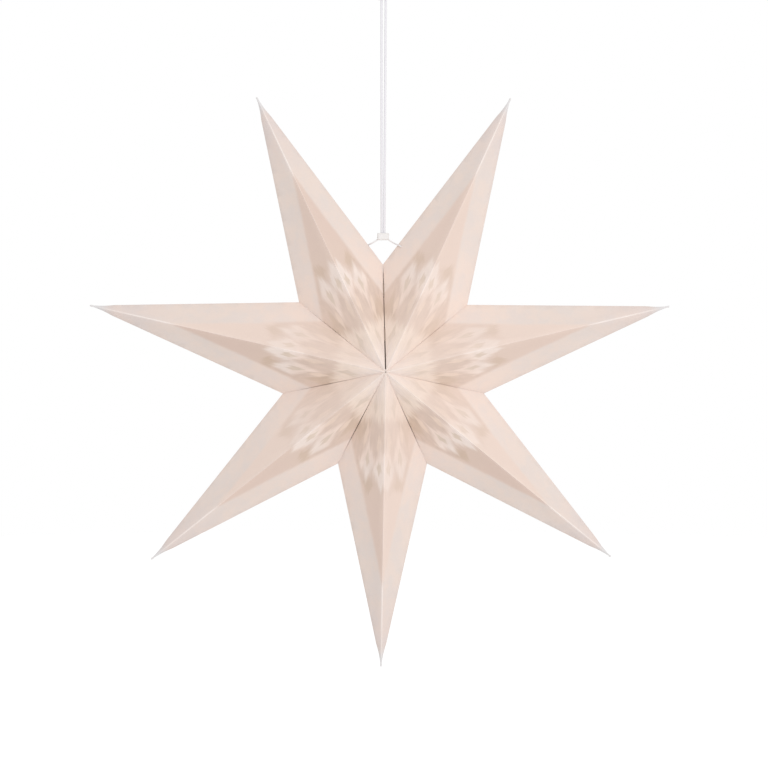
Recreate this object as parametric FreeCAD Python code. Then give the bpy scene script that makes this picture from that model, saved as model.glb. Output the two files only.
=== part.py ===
import FreeCAD, Part
import math
import os

os.makedirs("parts", exist_ok=True)

# A seven-pointed paper star lantern, hung by a doubled cord from a wire bail.
# Millimetres, +Z up, the front towards -Y. The origin is the middle of the star, on the line from
# the front centre to the back centre. Each point is one folded sheet: four panels, a glue tab on the
# back ridge, and flanges folded in where it is glued to its neighbours.

# Driving sizes of the star
POINT_COUNT = 7
TIP_RADIUS = 300.0
NOTCH_RADIUS = 105.5
HALF_DEPTH = 75.0
PAPER = 0.3

# The sheets' flanges, glue tab and trimmed corners
FLANGE_WIDTH = 9.0
MITRE_MOUTH = 2.4
MITRE_END = 0.4
MITRE_SETBACK = 1.5
TAB_WIDTH = 5.5
TAB_START = 20.0
TAB_TIP_CLEAR = 34.0
HUB_HOLE_RADIUS = 0.9

# The closing seam at the top, between the first and the last sheet
SEAM_GAP = 1.2
PAD_LENGTH = 14.0
PAD_WIDTH = 5.0
PAD_SETBACK = 3.0
PAD_PLACES = (0.3, 0.72)

# The wire bail and the holes it hooks into
WIRE_DIAMETER = 1.4
HOOK_CLEARANCE = 0.3
HOOK_ALONG_CREASE = 25.0
HOOK_INSET = 5.0
HOOK_STANDOFF = 1.9
HOOK_DEPTH = 8.0
HOOK_DROP = 7.0
CROWN_HALF = 3.9
ARM_REACH = 11.0
ARM_DROP = 3.1
WIRE_BEND = 1.4

# The clip that holds the cord's two ends and the middle of the wire
CLIP_RISE = 24.3
CLIP_WIDTH = 11.5
CLIP_DEPTH = 6.4
CLIP_HEIGHT = 7.0
CLIP_ROUND = 1.2
CLIP_CHAMFER = 0.5
WIRE_SLOT_HEIGHT = 2.2
SLOT_CLEARANCE = 0.1
SOCKET_DEPTH = 3.3
SOCKET_CLEARANCE = 0.1

# The doubled cord: one cord, up from the clip, round the loop at the top and back down
CORD_DIAMETER = 2.4
STRAND_SPACING = 2.6

# The cord's route up its left strand, sideways from the middle and up from the socket's floor.
# Its ends stop just short of that floor, and the long run is the stretch that the star pulls straight.
CORD_ROUTE = [
    (-STRAND_SPACING / 2, 0.05),
    (-2.2, 251.0),
    (-10.5, 266.5),
    (-11.5, 281.0),
    (-4.0, 289.0),
]

# The knot that ties the two strands, as closed wraps
KNOT_RISE = 235.2
KNOT_WRAPS = 2
KNOT_PITCH = 2.8
KNOT_CHAMFER = 0.8
KNOT_STRAND_SPACING = 4.31
KNOT_CLEARANCE = 0.05

HALF_ANGLE = 180.0 / POINT_COUNT
CORD_RADIUS = CORD_DIAMETER / 2
WIRE_RADIUS = WIRE_DIAMETER / 2
CENTRE = FreeCAD.Vector(0, 0, 0)
DEPTH_AXIS = FreeCAD.Vector(0, 1, 0)
UP = FreeCAD.Vector(0, 0, 1)
REACH = 2 * TIP_RADIUS
OVERCUT = 1.0


def vec(x, y, z):
    return FreeCAD.Vector(x, y, z)


def turned(point, degrees):
    """A place turned about the star's own axis, clockwise as the front is seen."""
    return FreeCAD.Rotation(DEPTH_AXIS, degrees).multVec(point)


def corners(size=1.0):
    """Front centre, back centre, tip, left notch and right notch of the point that stands straight up."""
    tip = vec(0, 0, TIP_RADIUS * size)
    notch = vec(0, 0, NOTCH_RADIUS * size)
    front = vec(0, -HALF_DEPTH * size, 0)
    return front, -front, tip, turned(notch, -HALF_ANGLE), turned(notch, HALF_ANGLE)


def plane_distance():
    """How far the middle of the star is from the plane of each panel. All panels are equally far."""
    front, back, tip, left, right = corners()
    normal = (tip - front).cross(right - front).normalize()
    return abs(front.dot(normal))


def wedge(size=1.0):
    """The space inside one point, between its four panels and the two planes it shares with its neighbours."""
    front, back, tip, left, right = corners(size)
    triangles = [
        (front, right, tip),
        (front, tip, left),
        (back, tip, right),
        (back, left, tip),
        (front, back, right),
        (front, left, back),
    ]
    faces = [Part.Face(Part.makePolygon([a, b, c, a])) for a, b, c in triangles]
    solid = Part.Solid(Part.Shell(faces))
    if solid.Volume < 0:
        solid.reverse()
    return solid


def inside_paper(layers):
    """The wedge that is left inside so many layers of paper: every panel moves in by the same amount."""
    distance = plane_distance()
    return wedge((distance - layers * PAPER) / distance)


def side_slab(side, depth):
    """Everything outside the plane shared with the neighbour on one side, and so far inside it."""
    start = -depth if side > 0 else -REACH
    slab = Part.makeBox(REACH + depth, 2 * REACH, 2 * REACH, vec(start, -REACH, -REACH))
    slab.rotate(CENTRE, DEPTH_AXIS, side * HALF_ANGLE)
    return slab


def side_prism(side, depth, outline):
    """A cut through the flange on one side. The outline is in distance from the axis and depth."""
    points = [vec(0, y, r) for r, y in outline]
    face = Part.Face(Part.makePolygon(points + points[:1]))
    over = PAPER / 2
    face.translate(vec(over * side, 0, 0))
    prism = face.extrude(vec(-(depth + 2 * over) * side, 0, 0))
    prism.rotate(CENTRE, DEPTH_AXIS, side * HALF_ANGLE)
    return prism


def flange_cuts(side, depth):
    """The window that leaves a flange along each seam, and the mitre between the two flanges."""
    seam = math.hypot(NOTCH_RADIUS, HALF_DEPTH)
    window_depth = HALF_DEPTH - FLANGE_WIDTH * seam / NOTCH_RADIUS
    window_reach = NOTCH_RADIUS - FLANGE_WIDTH * seam / HALF_DEPTH
    window = [
        (-PAPER, -window_depth),
        (0, -window_depth),
        (window_reach, 0),
        (0, window_depth),
        (-PAPER, window_depth),
    ]
    mitre_inner = window_reach - MITRE_MOUTH
    mitre_outer = NOTCH_RADIUS - MITRE_SETBACK
    mitre = [
        (mitre_inner, -MITRE_MOUTH / 2),
        (mitre_outer, -MITRE_END / 2),
        (mitre_outer, MITRE_END / 2),
        (mitre_inner, MITRE_MOUTH / 2),
    ]
    return [side_prism(side, depth, window), side_prism(side, depth, mitre)]


def glue_tab():
    """The strip of one back panel's edge that is folded over and glued inside the other back panel."""
    tab_end = TIP_RADIUS - TAB_TIP_CLEAR
    outline = [
        vec(0, 0, TAB_START),
        vec(TAB_WIDTH, 0, TAB_START + TAB_WIDTH),
        vec(TAB_WIDTH, 0, tab_end - TAB_WIDTH),
        vec(0, 0, tab_end),
    ]
    face = Part.Face(Part.makePolygon(outline + outline[:1]))
    strip = face.extrude(vec(0, HALF_DEPTH, 0))
    return inside_paper(1).cut(inside_paper(2)).common(strip)


def folded_sheet(left_gap, right_gap):
    """One point, standing straight up. A gap is half of the closing seam, where it has one."""
    outer = wedge()
    inner = inside_paper(1)
    cuts = []
    for side, gap in ((-1, left_gap), (1, right_gap)):
        if gap > 0:
            outer = outer.cut(side_slab(side, gap))
        inner = inner.cut(side_slab(side, gap + PAPER))
        cuts += flange_cuts(side, gap + PAPER)
    hub_hole = Part.makeCylinder(HUB_HOLE_RADIUS, 4 * HALF_DEPTH, vec(0, -2 * HALF_DEPTH, 0), DEPTH_AXIS)
    sheet = outer.cut([inner] + cuts + [hub_hole])
    return sheet.fuse(glue_tab()).removeSplitter()


def rounded_path(points, bends=None):
    """Straight runs joined by tangent arcs, as one wire. With no bends given, each arc is as large as its runs allow.

    Returns the wire and the radii.
    """
    edges = []
    radii = []
    start = points[0]
    for i in range(1, len(points) - 1):
        here = points[i]
        back_run = (points[i - 1] - here)
        next_run = (points[i + 1] - here)
        half_turn = (math.pi - back_run.getAngle(next_run)) / 2
        shorter = min(back_run.Length, next_run.Length)
        radius = bends[i - 1] if bends else 0.45 * shorter / math.tan(half_turn)
        radii.append(radius)
        back_dir = back_run.normalize()
        next_dir = next_run.normalize()
        tangent = radius * math.tan(half_turn)
        first = here + back_dir * tangent
        last = here + next_dir * tangent
        to_centre = (back_dir + next_dir).normalize()
        middle = here + to_centre * (radius / math.cos(half_turn) - radius)
        edges.append(Part.LineSegment(start, first).toShape())
        edges.append(Part.Arc(first, middle, last).toShape())
        start = last
    edges.append(Part.LineSegment(start, points[-1]).toShape())
    return Part.Wire(edges), radii


def tube(path, start, heading, radius):
    """A round rod along a path."""
    ring = Part.Wire(Part.makeCircle(radius, start, heading))
    return path.makePipeShell([ring], True, False)


def half_turned(point):
    """The same place on the other side: half a turn about the vertical through the middle."""
    return vec(-point.x, -point.y, point.z)


def hook_hole():
    """The middle of the hole in the first point's left front panel, and the panel's outward direction."""
    front, back, tip, left, right = (turned(p, HALF_ANGLE) for p in corners())
    along_crease = (tip - left).normalize()
    outward = (left - front).cross(tip - front).normalize()
    if outward.y > 0:
        outward = -outward
    inward_on_panel = outward.cross(along_crease)
    if inward_on_panel.y > 0:
        inward_on_panel = -inward_on_panel
    return left + along_crease * HOOK_ALONG_CREASE + inward_on_panel * HOOK_INSET, outward


def wire_points(clip_bottom):
    """The bail's corners, from the hook in the last point, over the crown, to the hook in the first point."""
    hole, outward = hook_hole()
    crown_height = clip_bottom + WIRE_SLOT_HEIGHT - SLOT_CLEARANCE - WIRE_RADIUS
    inner = hole - outward * HOOK_DEPTH
    right = [
        vec(CROWN_HALF, 0, crown_height),
        vec(ARM_REACH, 0, clip_bottom - ARM_DROP),
        hole + outward * HOOK_STANDOFF,
        inner,
        inner - UP * HOOK_DROP,
    ]
    return [half_turned(p) for p in reversed(right)] + right


def hanger_wire(clip_bottom):
    points = wire_points(clip_bottom)
    path = rounded_path(points, [WIRE_BEND] * (len(points) - 2))[0]
    return tube(path, points[0], points[1] - points[0], WIRE_RADIUS)


def hook_drill():
    """The hole for one hook, square through the panel."""
    hole, outward = hook_hole()
    length = 2 * HOOK_STANDOFF
    radius = WIRE_RADIUS + HOOK_CLEARANCE
    return Part.makeCylinder(radius, length, hole - outward * length / 2, outward)


def cord_clip(clip_bottom):
    """A rounded block with a slot for the wire below and one long socket for both ends of the cord above."""
    block = Part.makeBox(CLIP_WIDTH, CLIP_DEPTH, CLIP_HEIGHT, vec(-CLIP_WIDTH / 2, -CLIP_DEPTH / 2, clip_bottom))
    upright = [e for e in block.Edges if abs(e.tangentAt(e.FirstParameter).z) > 0.99]
    block = block.makeFillet(CLIP_ROUND, upright)
    block = chamfered_rims(block, CLIP_CHAMFER)
    slot_width = WIRE_DIAMETER + 2 * SLOT_CLEARANCE
    crown_height = clip_bottom + WIRE_SLOT_HEIGHT - slot_width / 2
    slot = Part.makeBox(CLIP_WIDTH, slot_width, crown_height - clip_bottom + OVERCUT,
                        vec(-CLIP_WIDTH / 2, -slot_width / 2, clip_bottom - OVERCUT))
    slot_top = Part.makeCylinder(slot_width / 2, CLIP_WIDTH, vec(-CLIP_WIDTH / 2, 0, crown_height), vec(1, 0, 0))
    opening = round_ended(STRAND_SPACING, CORD_RADIUS + SOCKET_CLEARANCE, socket_floor(clip_bottom))
    socket = opening.extrude(UP * 2 * SOCKET_DEPTH)
    return block.cut([slot, slot_top, socket])


def socket_floor(clip_bottom):
    return clip_bottom + CLIP_HEIGHT - SOCKET_DEPTH


def hanging_cord(clip_bottom):
    """One cord from socket to socket. Prints its arcs, its length and how its volume compares."""
    floor = socket_floor(clip_bottom)
    left = [vec(x, 0, floor + rise) for x, rise in CORD_ROUTE]
    points = left + [vec(-p.x, 0, p.z) for p in reversed(left)]
    path, radii = rounded_path(points)
    cord = tube(path, points[0], points[1] - points[0], CORD_RADIUS)
    expected = math.pi * CORD_RADIUS ** 2 * path.Length
    print("cord radii", [round(r, 1) for r in radii])
    print("cord length", round(path.Length, 1), "volume share", round(cord.Volume / expected, 4))
    return cord


def round_ended(spacing, reach, height):
    """A flat area round two strands: two half circles joined by straight sides."""
    half = spacing / 2
    right_front = vec(half, -reach, height)
    right_back = vec(half, reach, height)
    left_back = vec(-half, reach, height)
    left_front = vec(-half, -reach, height)
    edges = [
        Part.LineSegment(left_front, right_front),
        Part.Arc(right_front, vec(half + reach, 0, height), right_back),
        Part.LineSegment(right_back, left_back),
        Part.Arc(left_back, vec(-half - reach, 0, height), left_front),
    ]
    return Part.Face(Part.Wire([edge.toShape() for edge in edges]))


def chamfered_rims(block, size):
    """The block with its top and bottom rims chamfered."""
    rims = []
    for face in block.Faces:
        if abs(face.normalAt(0, 0).z) > 0.99:
            rims += face.Edges
    return block.makeChamfer(size, rims)


def knot_wrap(height):
    """One turn of cord round both strands."""
    outside = round_ended(KNOT_STRAND_SPACING, 3 * CORD_RADIUS + KNOT_CLEARANCE, height)
    inside = round_ended(KNOT_STRAND_SPACING, CORD_RADIUS + KNOT_CLEARANCE, height)
    wrap = chamfered_rims(outside.extrude(UP * KNOT_PITCH), KNOT_CHAMFER)
    return wrap.cut(inside.extrude(UP * KNOT_PITCH))


def cord_knot(clip_bottom):
    first = socket_floor(clip_bottom) + KNOT_RISE
    wraps = [knot_wrap(first + i * KNOT_PITCH) for i in range(KNOT_WRAPS)]
    return wraps[0].fuse(wraps[1:]).removeSplitter()


def closure_pad(front_or_back, place):
    """A foam pad in the closing seam, set back from the folds. The place is a share of the seam."""
    seam = vec(0, -HALF_DEPTH * front_or_back, -NOTCH_RADIUS)
    along = -seam.normalize()
    notch = vec(0, 0, NOTCH_RADIUS)
    centre = vec(0, front_or_back * HALF_DEPTH, 0)
    inward = vec(0, -front_or_back, 0)
    inward = (inward - along * inward.dot(along)).normalize()
    middle = centre + (notch - centre) * place + inward * (PAD_SETBACK + PAD_WIDTH / 2)
    pad = Part.makeBox(SEAM_GAP, PAD_WIDTH, PAD_LENGTH, vec(-SEAM_GAP / 2, -PAD_WIDTH / 2, -PAD_LENGTH / 2))
    direction = notch - centre
    tilt = math.degrees(math.atan2(-direction.y, direction.z))
    pad.rotate(CENTRE, vec(1, 0, 0), tilt)
    pad.translate(middle)
    return pad


def build():
    shapes = {}
    clip_bottom = NOTCH_RADIUS + CLIP_RISE
    drill = hook_drill()
    for i in range(POINT_COUNT):
        left_gap = SEAM_GAP / 2 if i == 0 else 0
        right_gap = SEAM_GAP / 2 if i == POINT_COUNT - 1 else 0
        sheet = folded_sheet(left_gap, right_gap)
        sheet.rotate(CENTRE, DEPTH_AXIS, (2 * i + 1) * HALF_ANGLE)
        if i == 0:
            sheet = sheet.cut(drill)
        if i == POINT_COUNT - 1:
            other = drill.copy()
            other.rotate(CENTRE, UP, 180)
            sheet = sheet.cut(other)
        shapes[f"point_{i + 1}"] = sheet
    number = 0
    for front_or_back in (-1, 1):
        for place in PAD_PLACES:
            number += 1
            shapes[f"closure_pad_{number}"] = closure_pad(front_or_back, place)
    shapes["hanger_wire"] = hanger_wire(clip_bottom)
    shapes["cord_clip"] = cord_clip(clip_bottom)
    shapes["hanging_cord"] = hanging_cord(clip_bottom)
    shapes["cord_knot"] = cord_knot(clip_bottom)
    return shapes


for name, shape in build().items():
    shape.exportStep(f"parts/{name}.step")
    box = shape.BoundBox
    print(name, shape.ShapeType, len(shape.Solids), shape.isValid(), round(shape.Volume, 1),
          [round(v, 1) for v in (box.XMin, box.YMin, box.ZMin, box.XMax, box.YMax, box.ZMax)])
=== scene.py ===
# %% [markdown]
# # A folded paper star lantern
#
# Seven sheets of printed paper are folded into four-sided spikes and glued edge to edge round one axis.
# The star hangs from a white cord, a small clip and a thin wire.
# The construction is already there as plain solids. This lesson gives it its looks: paper that was folded
# by hand, a soft woven-looking print, a braided cord and a moulded clip.
#
# Everything is in metres. The front of the star looks towards -Y, and +Z is up.

# %% Load the construction
import math

import bmesh
import bpy
from mathutils import Matrix, Vector, noise


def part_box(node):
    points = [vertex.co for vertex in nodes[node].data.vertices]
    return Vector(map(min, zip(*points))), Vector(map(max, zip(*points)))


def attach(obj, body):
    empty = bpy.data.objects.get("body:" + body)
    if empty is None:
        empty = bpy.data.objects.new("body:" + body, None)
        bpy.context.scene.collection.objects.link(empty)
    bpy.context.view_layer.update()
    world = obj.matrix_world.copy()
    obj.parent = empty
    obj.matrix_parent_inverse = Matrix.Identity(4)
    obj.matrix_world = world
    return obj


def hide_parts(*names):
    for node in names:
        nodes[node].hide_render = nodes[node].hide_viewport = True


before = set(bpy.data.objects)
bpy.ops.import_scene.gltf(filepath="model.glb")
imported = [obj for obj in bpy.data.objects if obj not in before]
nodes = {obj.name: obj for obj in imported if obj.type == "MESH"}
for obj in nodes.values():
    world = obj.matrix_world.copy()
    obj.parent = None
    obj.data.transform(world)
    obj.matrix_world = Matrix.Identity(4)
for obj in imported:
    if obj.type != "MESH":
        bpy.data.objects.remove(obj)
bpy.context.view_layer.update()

# %% [markdown]
# ## The star's own sizes
#
# The sizes come from the solids, so that the paper lies where they are. The point that hangs straight down
# gives two of them: its lowest corner is the tip, and its widest place is at the two notches beside it.

# %% Read the sizes
POINT_COUNT = 7
HALF_ANGLE = math.pi / POINT_COUNT
PAPER = 0.0003
FLANGE_WIDTH = 0.009
HUB_HOLE = 0.0009
HUB_TRIM = 0.0005

down_low, down_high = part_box("point_4")
TIP_RADIUS = -down_low.z
NOTCH_RADIUS = (down_high.x - down_low.x) / 2 / math.sin(HALF_ANGLE)
HALF_DEPTH = down_high.y / (1 - HUB_HOLE / TIP_RADIUS)
NOTCH = Vector((NOTCH_RADIUS * math.sin(HALF_ANGLE), 0, NOTCH_RADIUS * math.cos(HALF_ANGLE)))
EDGE_SLOPE = NOTCH.x / (TIP_RADIUS - NOTCH.z)
print("tip", round(TIP_RADIUS, 4), "notch", round(NOTCH_RADIUS, 4), "half depth", round(HALF_DEPTH, 4))

# %% [markdown]
# ## The camera
#
# The photograph was taken from about two metres, a little to the left of the star and a little above its
# middle. The lens is long, so the star shows almost no perspective. A small shift puts the star where it is
# in the photograph's frame, which is 768 pixels wide and high.

# %% Place the camera
IMAGE_SIZE = 768
SENSOR = 36.0
CAMERA_DISTANCE = 2.0
CAMERA_AZIMUTH = math.radians(-2.23)
CAMERA_ELEVATION = math.radians(1.88)
CAMERA_ROLL = math.radians(0.163)
FOCAL_PIXELS = 1992.0
CENTRE_PIXEL = (382.63, 369.58)


def add_camera():
    data = bpy.data.cameras.new("photo_camera")
    data.sensor_width = SENSOR
    data.lens = FOCAL_PIXELS / IMAGE_SIZE * SENSOR
    data.shift_x = (IMAGE_SIZE / 2 - CENTRE_PIXEL[0]) / IMAGE_SIZE
    data.shift_y = -(IMAGE_SIZE / 2 - CENTRE_PIXEL[1]) / IMAGE_SIZE
    camera = bpy.data.objects.new("photo_camera", data)
    bpy.context.scene.collection.objects.link(camera)
    away = Vector((
        math.sin(CAMERA_AZIMUTH) * math.cos(CAMERA_ELEVATION),
        -math.cos(CAMERA_AZIMUTH) * math.cos(CAMERA_ELEVATION),
        math.sin(CAMERA_ELEVATION),
    ))
    camera.location = away * CAMERA_DISTANCE
    looking = (-away).to_track_quat("-Z", "Y")
    camera.rotation_euler = (looking.to_matrix() @ Matrix.Rotation(CAMERA_ROLL, 3, "Z")).to_euler()
    bpy.context.scene.camera = camera
    return camera


camera = add_camera()
print("lens", round(camera.data.lens, 1), "mm, shift", round(camera.data.shift_x, 4), round(camera.data.shift_y, 4))

# %% [markdown]
# ## The cord's line
#
# The cord is one piece: up from the clip, round a loop at the top and back down. The star's weight pulls it
# straight as far as the knot. A NURBS spline of order 3 gives one smooth line through these few points.
# The extra point low on each long run keeps that run straight, so that only the top bends.

# %% Draw the cord's line
MM = 0.001
CORD_DIAMETER = 0.0024
SOCKET_FLOOR = 133.5
CORD_ROUTE = [
    (-1.3, 0.05),
    (-2.15, 237.6),
    (-2.2, 251.0),
    (-10.5, 266.5),
    (-11.5, 281.0),
    (-4.0, 289.0),
]


def cord_points():
    left = [Vector((x, 0, SOCKET_FLOOR + rise)) * MM for x, rise in CORD_ROUTE]
    return left + [Vector((-p.x, 0, p.z)) for p in reversed(left)]


def smooth_line(name, points):
    """The points that a smooth spline through the route gives, evenly read from it."""
    curve = bpy.data.curves.new(name, "CURVE")
    curve.dimensions = "3D"
    curve.resolution_u = 24
    spline = curve.splines.new("NURBS")
    spline.points.add(len(points) - 1)
    for target, place in zip(spline.points, points):
        target.co = (*place, 1)
    spline.order_u = 3
    spline.use_endpoint_u = True
    guide = bpy.data.objects.new(name, curve)
    mesh = bpy.data.meshes.new_from_object(guide)
    line = [v.co.copy() for v in mesh.vertices]
    bpy.data.objects.remove(guide)
    bpy.data.meshes.remove(mesh)
    return line


def line_length(line):
    return sum((b - a).length for a, b in zip(line, line[1:]))


cord_line = smooth_line("cord_guide", cord_points())
print("cord line", len(cord_line), "points,", round(line_length(cord_line), 4), "m")

# %% [markdown]
# ## One sheet, flat panels first
#
# A sheet has four panels that meet at the tip. It would be easy to type all its corners, but the panels are
# mirror images, so one panel is enough: it gets its folded-in flange, and two mirrors make the other three.
# Modelling it straight up and turning it into place at the end keeps every step simple.

# %% Start a sheet from one panel
MITRE_GAP = 0.0006
MERGE_DISTANCE = 1e-6
FRONT = Vector((0, -HALF_DEPTH, 0))
TIP = Vector((0, 0, TIP_RADIUS))


def seam_place(radius):
    """A place on the fold where the front right panel meets its neighbour, so far from the axis."""
    return FRONT.lerp(NOTCH, radius / NOTCH_RADIUS)


def panel_normal():
    """The outward direction of the front right panel."""
    normal = (TIP - FRONT).cross(NOTCH - FRONT).normalized()
    return normal if normal.y < 0 else -normal


def flange_reach():
    """How deep the flange's inner edge lies at the axis, and how far out it ends in the middle."""
    seam = math.hypot(NOTCH_RADIUS, HALF_DEPTH)
    depth = HALF_DEPTH - FLANGE_WIDTH * seam / NOTCH_RADIUS
    reach = NOTCH_RADIUS - FLANGE_WIDTH * seam / HALF_DEPTH
    return depth, reach


def corners_of(geom):
    """Only the corners among what an operator made."""
    return [item for item in geom if isinstance(item, bmesh.types.BMVert)]


def everything(bm):
    return bm.verts[:] + bm.edges[:] + bm.faces[:]


def first_panel():
    bm = bmesh.new()
    ridge_hub = FRONT.lerp(TIP, HUB_TRIM / TIP_RADIUS)
    verts = [bm.verts.new(c) for c in (seam_place(HUB_TRIM), NOTCH, TIP, ridge_hub)]
    bm.faces.new(verts)
    seam = bm.edges.get(verts[:2])
    depth, reach = flange_reach()
    for vert in corners_of(bmesh.ops.extrude_edge_only(bm, edges=[seam])["geom"]):
        if vert.co.z < NOTCH.z / 2:
            vert.co = NOTCH * (HUB_TRIM / NOTCH_RADIUS)
            vert.co.y = -depth * (1 - HUB_TRIM / reach)
        else:
            vert.co = NOTCH * (reach / NOTCH_RADIUS)
            vert.co.y = -MITRE_GAP
    return bm


def mirror_sheet(bm, axis):
    bmesh.ops.mirror(bm, geom=everything(bm), matrix=Matrix.Identity(4), merge_dist=MERGE_DISTANCE, axis=axis)


PANEL_NORMAL = panel_normal()
test = first_panel()
print("first panel and flange:", len(test.verts), "corners,", len(test.faces), "faces")
print("panel looks towards", [round(v, 3) for v in PANEL_NORMAL])
test.free()

# %% [markdown]
# ## The glue tab behind
#
# The printed sheet is one flat piece, so its last two panels have to be joined. That join is put behind,
# along the back ridge, where nobody looks: one panel ends in a narrow strip that is folded under the other.
# The upper panel stops just short of the fold, and its cut edge shows as a fine line.

# %% Split the back ridge and fold the tab
TAB_WIDTH = 0.0055
TAB_START = 0.02
TAB_END = 0.266
TAB_STEP = 0.0004
TAB_PLAY = 0.00006
UP = Vector((0, 0, 1))
CUT_TOLERANCE = 1e-7


def cut_across(bm, axis, distance):
    """Cut the whole sheet square to an axis, so far along it."""
    bmesh.ops.bisect_plane(bm, geom=everything(bm), dist=CUT_TOLERANCE, plane_co=axis * distance, plane_no=axis)


def on_back_ridge(vert):
    return abs(vert.co.x) < CUT_TOLERANCE and vert.co.y > MERGE_DISTANCE


def along_back_ridge(edge):
    return all(on_back_ridge(vert) or vert.co == TIP for vert in edge.verts)


def on_left(item):
    """Whether an edge or a corner of the open back ridge belongs to the left panel."""
    return item.link_faces[0].calc_center_median().x < 0


def add_glue_tab(bm):
    ridge = (TIP - Vector((0, HALF_DEPTH, 0))).normalized()
    outward = Vector((-PANEL_NORMAL.x, -PANEL_NORMAL.y, PANEL_NORMAL.z))
    across = ridge.cross(outward)
    across = -across if across.x > 0 else across
    for height in (TAB_START, TAB_END):
        cut_across(bm, UP, height)
    bmesh.ops.split_edges(bm, edges=[e for e in bm.edges if along_back_ridge(e)])
    open_edges = [e for e in bm.edges if e.is_boundary and along_back_ridge(e) and not on_left(e)]
    tab_edges = [e for e in open_edges if TAB_START < (e.verts[0].co.z + e.verts[1].co.z) / 2 < TAB_END]
    left = {v for v in bm.verts if on_back_ridge(v) and on_left(v)}
    right = {v for v in bm.verts if on_back_ridge(v)} - left
    for vert in left:
        vert.co += across * TAB_STEP
    for vert in right:
        vert.co.y -= PAPER + TAB_PLAY
    for vert in corners_of(bmesh.ops.extrude_edge_only(bm, edges=tab_edges)["geom"]):
        slant = TAB_WIDTH if vert.co.z < TIP_RADIUS / 2 else -TAB_WIDTH
        vert.co += across * TAB_WIDTH + ridge * slant


print("glue tab", TAB_WIDTH, "m wide, from", TAB_START, "to", TAB_END, "m along the sheet")

# %% [markdown]
# ## Folds and cells
#
# A fold in stiff paper isn't a knife edge, so every fold gets a small round with the bevel operator.
# The bevel eats a little of the sharp tip, and a short stretch gives that back. Flat cuts through the whole
# sheet then give it enough corners to bend softly. A few more cuts lie beside the hub, where the closing seam
# ends, and near the tip, which is pressed narrow.

# %% Round the folds and cut the sheet into cells
FOLD_ANGLE = math.radians(20)
FOLD_RADIUS = 0.00035
FOLD_SEGMENTS = 2
CELL_ALONG = 0.006
CELL_ACROSS = 0.0055
STRETCH_FROM = 0.24
EXTRA_CUTS = [0.0018, 0.0028, 0.285, 0.291, 0.2965, 0.2993]
RIGHT = Vector((1, 0, 0))


def is_fold(edge):
    return len(edge.link_faces) == 2 and edge.calc_face_angle(0) > FOLD_ANGLE


def stretch_tip(bm):
    reached = max(v.co.z for v in bm.verts)
    for vert in bm.verts:
        if vert.co.z > STRETCH_FROM:
            vert.co.z += (TIP_RADIUS - reached) * (vert.co.z - STRETCH_FROM) / (reached - STRETCH_FROM)


def folded_sheet():
    bm = first_panel()
    mirror_sheet(bm, "X")
    mirror_sheet(bm, "Y")
    add_glue_tab(bm)
    bmesh.ops.recalc_face_normals(bm, faces=bm.faces[:])
    folds = [e for e in bm.edges if is_fold(e)]
    bmesh.ops.bevel(bm, geom=folds, offset=FOLD_RADIUS, segments=FOLD_SEGMENTS, profile=0.5,
                    affect="EDGES", material=-1, clamp_overlap=True)
    stretch_tip(bm)
    for k in range(1, int(TIP_RADIUS / CELL_ALONG) + 1):
        cut_across(bm, UP, k * CELL_ALONG)
    for height in EXTRA_CUTS:
        cut_across(bm, UP, height)
    for k in range(1, int(NOTCH.x / CELL_ACROSS) + 1):
        for side in (-1, 1):
            cut_across(bm, RIGHT, side * k * CELL_ACROSS)
    return bm


test = folded_sheet()
print("one sheet:", len(test.verts), "corners,", len(test.faces), "faces")
test.free()

# %% [markdown]
# ## Holes for the hooks
#
# The wire's two hooks go through small holes punched beside the outer crease of the two top sheets, one in
# front and one behind. Eight short cuts round each place make the hole, and only the faces near it are cut.

# %% Punch a hook hole
HOOK_ALONG_CREASE = 0.025
HOOK_INSET = 0.005
HOOK_HOLE_RADIUS = 0.001
HOLE_SIDES = 8
HOLE_PATCH = 0.008
HOLE_MARGIN = 1.01
SAME_WAY = 0.9


def hook_place(front):
    """The hole's middle on the straight sheet: the front left panel's, or the back right panel's."""
    notch = Vector((-NOTCH.x, 0, NOTCH.z))
    outward = Vector((-PANEL_NORMAL.x, PANEL_NORMAL.y, PANEL_NORMAL.z))
    crease = (TIP - notch).normalized()
    inward = outward.cross(crease)
    inward = -inward if inward.y > 0 else inward
    place = notch + crease * HOOK_ALONG_CREASE + inward * HOOK_INSET
    if front:
        return place, outward
    return Vector((-place.x, -place.y, place.z)), Vector((-outward.x, -outward.y, outward.z))


def punch_hole(bm, place, outward):
    side = outward.orthogonal().normalized()
    for k in range(HOLE_SIDES):
        direction = Matrix.Rotation(2 * math.pi * k / HOLE_SIDES, 3, outward) @ side
        faces = [f for f in bm.faces if (f.calc_center_median() - place).length < HOLE_PATCH
                 and f.normal.dot(outward) > SAME_WAY]
        edges = {e for f in faces for e in f.edges}
        verts = {v for f in faces for v in f.verts}
        bmesh.ops.bisect_plane(bm, geom=faces + list(edges) + list(verts), dist=CUT_TOLERANCE,
                               plane_co=place + direction * HOOK_HOLE_RADIUS, plane_no=direction)
    reach = HOLE_MARGIN * HOOK_HOLE_RADIUS / math.cos(math.pi / HOLE_SIDES)
    inside = [f for f in bm.faces if all((v.co - place).length < reach for v in f.verts)]
    bmesh.ops.delete(bm, geom=inside, context="FACES")


print("hook hole at", [round(v / MM, 1) for v in hook_place(True)[0]], "mm on the straight sheet")

# %% [markdown]
# ## Hands are never quite even
#
# The star is folded by hand: tips lean and notches sit by a millimetre or three. Each lean is shared out over
# the panel by how near a place is to that corner, so panels stay flat.
#
# The last centimetre of each tip is all folds and glue, pressed together into a narrow strip with a blunt end.

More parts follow.
